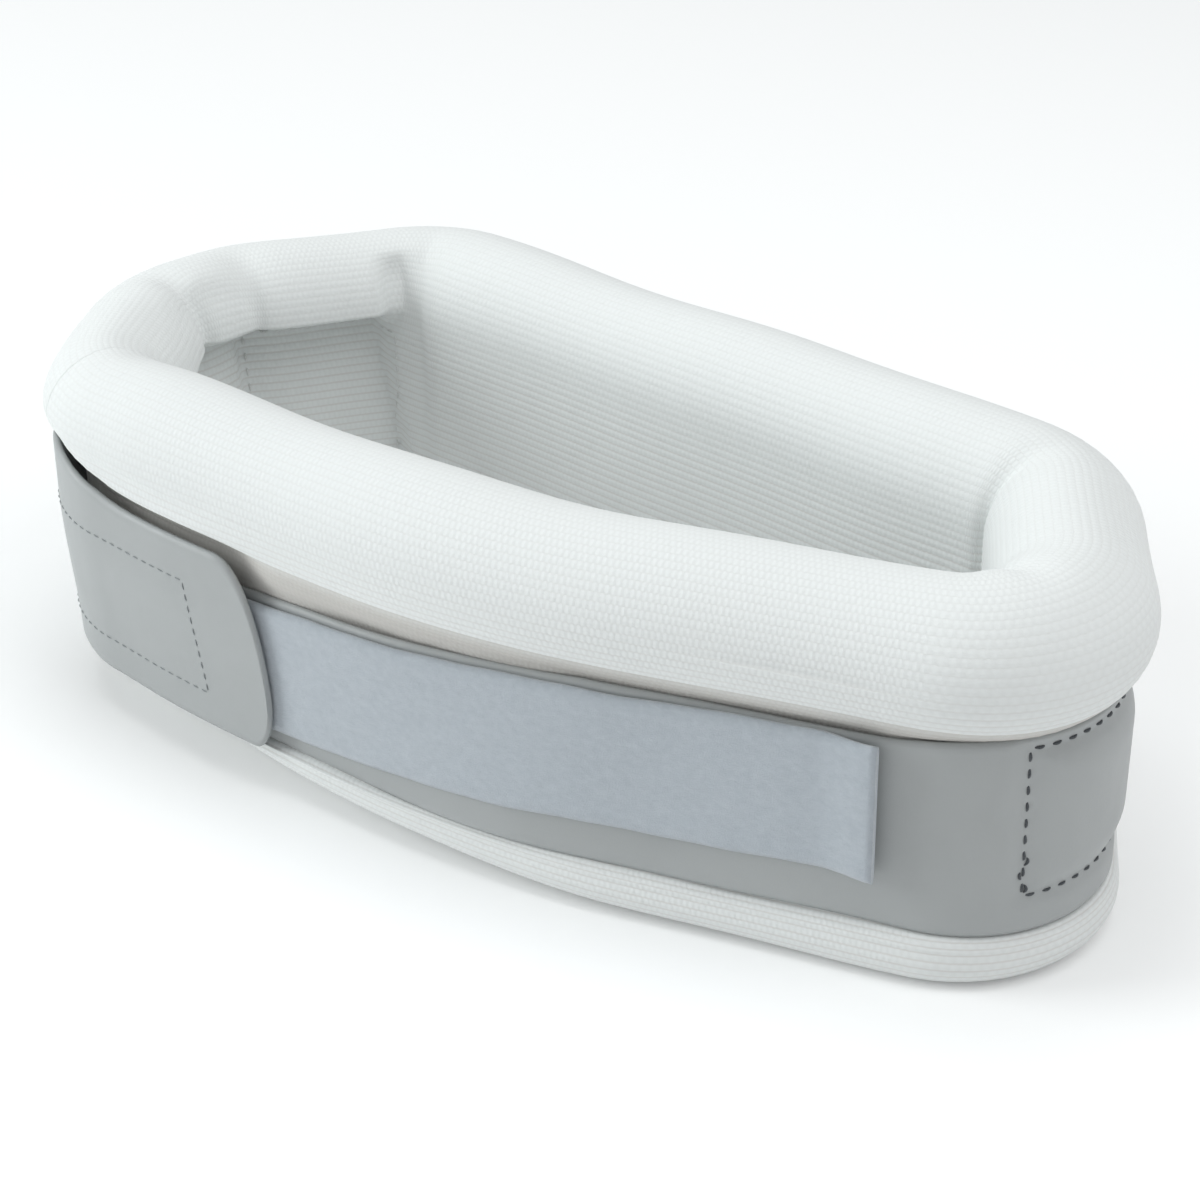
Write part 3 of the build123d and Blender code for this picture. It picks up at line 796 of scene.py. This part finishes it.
def hook_strip():
    """Base of the hook tape."""
    rings = []
    last = TOTAL + length_at_x(HOOK_LAST_X, TAB_IN)
    z = np.linspace(HOOK_LOW, HOOK_LOW + TAPE_WIDTH, 16)
    for s in np.linspace(HOOK_FIRST, last, 50):
        inner = hook_face(s, z)
        out = np.concatenate([inner + HOOK_TAPE, inner[::-1]])
        rings.append(tab_place(s, out, np.concatenate([z, z[::-1]])))
    return skin_rings("hook_strip", rings)


def hook_field():
    """Rows of stiff little hooks that face the loop pile."""
    vertices, faces = [], []
    last = TOTAL + length_at_x(HOOK_LAST_X, TAB_IN)
    rows = np.linspace(HOOK_LOW + 0.0012, HOOK_LOW + TAPE_WIDTH - 0.0012, 21)
    bow = [(0.0, 0.0), (0.0003, 0.0), (0.0005, 0.0001), (0.00055, 0.0003), (0.00042, 0.00042)]
    for k, s in enumerate(np.arange(HOOK_FIRST + 0.001, last - 0.001, 0.0014)):
        for z in rows + 0.0007 * (k % 2):
            way = 1 if k % 2 else -1
            base = len(vertices)
            for depth, reach in bow:
                for da, dz in ((-1, -1), (1, -1), (1, 1), (-1, 1)):
                    up = z + dz * HALF_WIRE + way * reach
                    vertices.append(tab_place(s + da * HALF_WIRE, hook_face(s, z) - depth, up)[0])
            for j in range(len(bow) - 1):
                for q in range(4):
                    a, b = base + 4 * j + q, base + 4 * j + (q + 1) % 4
                    faces.append([a, a + 4, b + 4, b])
            top = base + 4 * (len(bow) - 1)
            faces += [[base, base + 1, base + 2, base + 3], [top + 3, top + 2, top + 1, top]]
    return make("hook_field", vertices, faces)


hook_base = dress(hook_strip(), HOOKS, ["hook_tape"])
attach(hook_base, "tab")
hooks = dress(hook_field(), HOOKS)
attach(hooks, "tab")


# ---- stitching ----------------------------------------------------------------------------
def thread_along(path, normals, radius, pitch, gap, seed):
    """Stitches along a path on a face: each is a short length of thread whose ends go into the face."""
    path, normals = np.array(path), np.array(normals)
    run = np.concatenate([[0], np.cumsum(np.linalg.norm(np.diff(path, axis=0), axis=1))])
    count = max(1, int(round(run[-1] / pitch)))
    random = np.random.default_rng(seed)
    vertices, faces = [], []
    sides, steps = 7, 7
    for k in range(count):
        start = (k + gap / 2) / count * run[-1]
        end = (k + 1 - gap / 2) / count * run[-1]
        tilt = random.uniform(-0.2, 0.2) * radius
        positions = np.linspace(start, end, steps)
        arch = np.sin(np.linspace(0, pi, steps))
        centre = np.column_stack([np.interp(positions, run, path[:, j]) for j in range(3)])
        facing = np.column_stack([np.interp(positions, run, normals[:, j]) for j in range(3)])
        facing /= np.linalg.norm(facing, axis=1, keepdims=True)
        centre = centre + facing * ((arch - 0.45) * radius * 1.5)[:, None]
        way = centre[-1] - centre[0]
        way /= np.linalg.norm(way)
        centre = centre + np.cross(facing, way) * (np.linspace(-1, 1, steps) * tilt)[:, None]
        base = len(vertices)
        for j in range(steps):
            side = np.cross(facing[j], way)
            size = radius * (0.45 + 0.55 * arch[j] ** 0.5)
            for q in range(sides):
                angle = 2 * pi * q / sides
                vertices.append(centre[j] + (side * cos(angle) + facing[j] * sin(angle)) * size)
        for j in range(steps - 1):
            for q in range(sides):
                a, b = base + j * sides + q, base + j * sides + (q + 1) % sides
                faces.append([a, b, b + sides, a + sides])
        faces.append([base + q for q in range(sides)][::-1])
        faces.append([base + (steps - 1) * sides + q for q in range(sides)])
    return vertices, faces


def box_path(box, face, flip, placing=place, slant=0.0):
    """Path and normals once round a stitched rectangle, as four sides."""
    left, right, low, high = box
    corners = [(left, low), (right, low), (right, high), (left, high), (left, low)]
    sides = []
    for (s0, z0), (s1, z1) in zip(corners, corners[1:]):
        points, normals = [], []
        for t in np.linspace(0, 1, 60):
            z = z0 + (z1 - z0) * t
            s = s0 + (s1 - s0) * t
            if s > left + 0.001:
                s += slant * (z - low) / (high - low)
            points.append(placing(s, face(s, z), z)[0])
            angle = wall(s - TOTAL if s > TOTAL else s)[1]
            normals.append([*(ray(angle) * flip), 0])
        sides.append((points, normals))
    return sides


def threads(name, sides, material, replaces, radius, pitch, gap, seed):
    """One piece of all the stitches on several sides."""
    vertices, faces = [], []
    for k, (points, normals) in enumerate(sides):
        more, joined = thread_along(points, normals, radius, pitch, gap, seed + k)
        faces += [[index + len(vertices) for index in face] for face in joined]
        vertices += more
    piece = make(name, vertices, faces)
    return dress(piece, material, replaces)


def backtack(box, face, flip):
    """A few overlapping stitches where the machine went back over its own seam."""
    left, _, low, _ = box
    points, normals = [], []
    for t in np.linspace(0, 1, 30):
        z = low + 0.009 * t
        s = left + 0.0005 * sin(9 * t)
        points.append(place(s, face(s, z), z)[0])
        normals.append([*(ray(wall(s)[1]) * flip), 0])
    return points, normals


def outer_band(s, z):
    """Outer face of the band."""
    return band_face(s, np.asarray(z)) + BAND


def outer_tab(s, z):
    """Outer face of the tab."""
    return tab_face(s, np.asarray(z)) + BAND


def inner_cover(s, z):
    """Inner face of the cover."""
    points, run = OUTLINE, np.linspace(0, ROUND, len(OUTLINE), endpoint=False)
    outward = np.zeros_like(OUTLINE)
    outward[:, 0] = -1
    out, height = bar_shape(s, points[:, 0], points[:, 1], outward, run)
    inner = (points[:, 0] < 0.012) & (points[:, 1] > 0.010) & (points[:, 1] < 0.070)
    order = np.argsort(height[inner])
    return np.interp(z, height[inner][order], out[inner][order])


right_sides = box_path(RIGHT_BOX, outer_band, 1) + [backtack(RIGHT_BOX, outer_band, 1)]
right_needle = threads("right_box_stitching", right_sides, DARK_THREAD,
                       ["right_box_needle_thread"], radius=0.00031, pitch=STITCH, gap=0.34, seed=11)
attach(right_needle, "main")

back_needle = threads("back_box_stitching", box_path(BACK_BOX, outer_band, 1), DARK_THREAD,
                      ["back_box_needle_thread"], radius=0.00034, pitch=STITCH, gap=0.34, seed=23)
fold_blend(back_needle)

RIGHT_INNER = (STARTS[2 * NEAR_RIGHT + 1] + 0.001, STARTS[2 * NEAR_RIGHT + 2] - 0.001, BOX_LOW, BOX_HIGH)
right_bobbin = threads("right_box_inner_stitching", box_path(RIGHT_INNER, inner_cover, -1), PALE_THREAD,
                       ["right_box_bobbin_thread"], radius=THREAD, pitch=STITCH,
                       gap=0.4, seed=31)
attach(right_bobbin, "main")

BACK_INNER = (AT_FAR_LEFT + 0.0120, AT_BACK_LEFT - 0.0010, PANEL_LOW + 0.0008, PANEL_HIGH - 0.0015)
back_bobbin = threads("back_box_inner_stitching", box_path(BACK_INNER, inner_cover, -1), PALE_THREAD,
                      ["back_box_bobbin_thread"], radius=THREAD, pitch=STITCH,
                      gap=0.4, seed=41)
fold_blend(back_bobbin)

TAB_BOX = (TOTAL - 0.0052, TOTAL + length_at_x(-0.0482, TAB_OUT), 0.0200, 0.0455)
tab_stitching = threads("tab_stitching", box_path(TAB_BOX, outer_tab, 1, tab_place, -0.004), GREY_THREAD,
                        ["hook_tape_thread"], radius=0.00015, pitch=0.0026, gap=0.25,
                        seed=53)
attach(tab_stitching, "tab")

# the seams that close the cover's two ends are carried over from the CAD model
for seam in ("end_seam_main", "end_seam_left_end"):
    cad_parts[seam].data.materials.clear()
    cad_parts[seam].data.materials.append(PALE_THREAD)


# ---- stage, light and camera --------------------------------------------------------------
def build_floor():
    """Plain pale floor."""
    half = 3.0
    corners = [(-half, -half, 0), (half, -half, 0), (half, half, 0), (-half, half, 0)]
    floor = make("floor", corners, [[0, 1, 2, 3]])
    n = Nodes("pale_floor", 0.9, specular=0.1)
    n.shader.inputs["Emission Color"].default_value = (1, 1, 1, 1)
    n.shader.inputs["Emission Strength"].default_value = 0.07
    floor.data.materials.append(n.finish((0.93, 0.935, 0.935, 1)))


def area_light(name, where, size, power, colour=(1, 1, 1)):
    """A soft light that faces the collar."""
    data = bpy.data.lights.new(name, "AREA")
    data.shape, data.size, data.energy, data.color = "DISK", size, power, colour
    light = bpy.data.objects.new(name, data)
    bpy.context.scene.collection.objects.link(light)
    light.location = where
    light.rotation_euler = (Vector((0, 0, HEIGHT / 2)) - Vector(where)).to_track_quat("-Z", "Y").to_euler()


def build_light():
    """Soft white studio: a sky that is brighter overhead, and three large lights."""
    world = bpy.data.worlds.new("studio")
    world.use_nodes = True
    tree, background = world.node_tree, world.node_tree.nodes["Background"]
    direction = tree.nodes.new("ShaderNodeTexCoord")
    split = tree.nodes.new("ShaderNodeSeparateXYZ")
    ramp = tree.nodes.new("ShaderNodeValToRGB")
    tree.links.new(direction.outputs["Generated"], split.inputs[0])
    tree.links.new(split.outputs[2], ramp.inputs["Fac"])
    tree.links.new(ramp.outputs["Color"], background.inputs["Color"])
    horizon, zenith = ramp.color_ramp.elements
    horizon.position, zenith.position = 0.05, 0.60
    horizon.color, zenith.color = (0.36, 0.36, 0.365, 1), (0.985, 0.99, 1.0, 1)
    background.inputs["Strength"].default_value = 0.52
    bpy.context.scene.world = world
    area_light("key", (-1.20, -0.95, 0.60), 0.9, 13.5, (0.955, 1.0, 1.0))
    area_light("top", (0.0, 0.0, 1.4), 1.0, 6.0, (0.96, 1.0, 1.0))
    area_light("fill", (0.62, 0.10, 0.85), 0.7, 2.3)


def build_camera():
    """Camera at the viewing angle: from the front right, looking down."""
    heading_right = Vector((0.744, 0.668, 0)).normalized()
    pitch, roll = radians(29.98), radians(-0.77)
    forward = Vector((-heading_right.y, heading_right.x, 0)) * cos(pitch) - Vector((0, 0, sin(pitch)))
    upright = heading_right.cross(forward)
    across = heading_right * cos(roll) + upright * sin(roll)
    above = upright * cos(roll) - heading_right * sin(roll)
    data = bpy.data.cameras.new("camera")
    data.lens, data.sensor_width = 85.0, 36.0
    camera = bpy.data.objects.new("camera", data)
    turn = Matrix((across, above, -forward)).transposed().to_4x4()
    camera.matrix_world = Matrix.Translation((0.3422, -0.3730, 0.3262)) @ turn
    bpy.context.scene.collection.objects.link(camera)
    bpy.context.scene.camera = camera


build_floor()
build_light()
build_camera()
bpy.context.scene.view_settings.view_transform = "Standard"
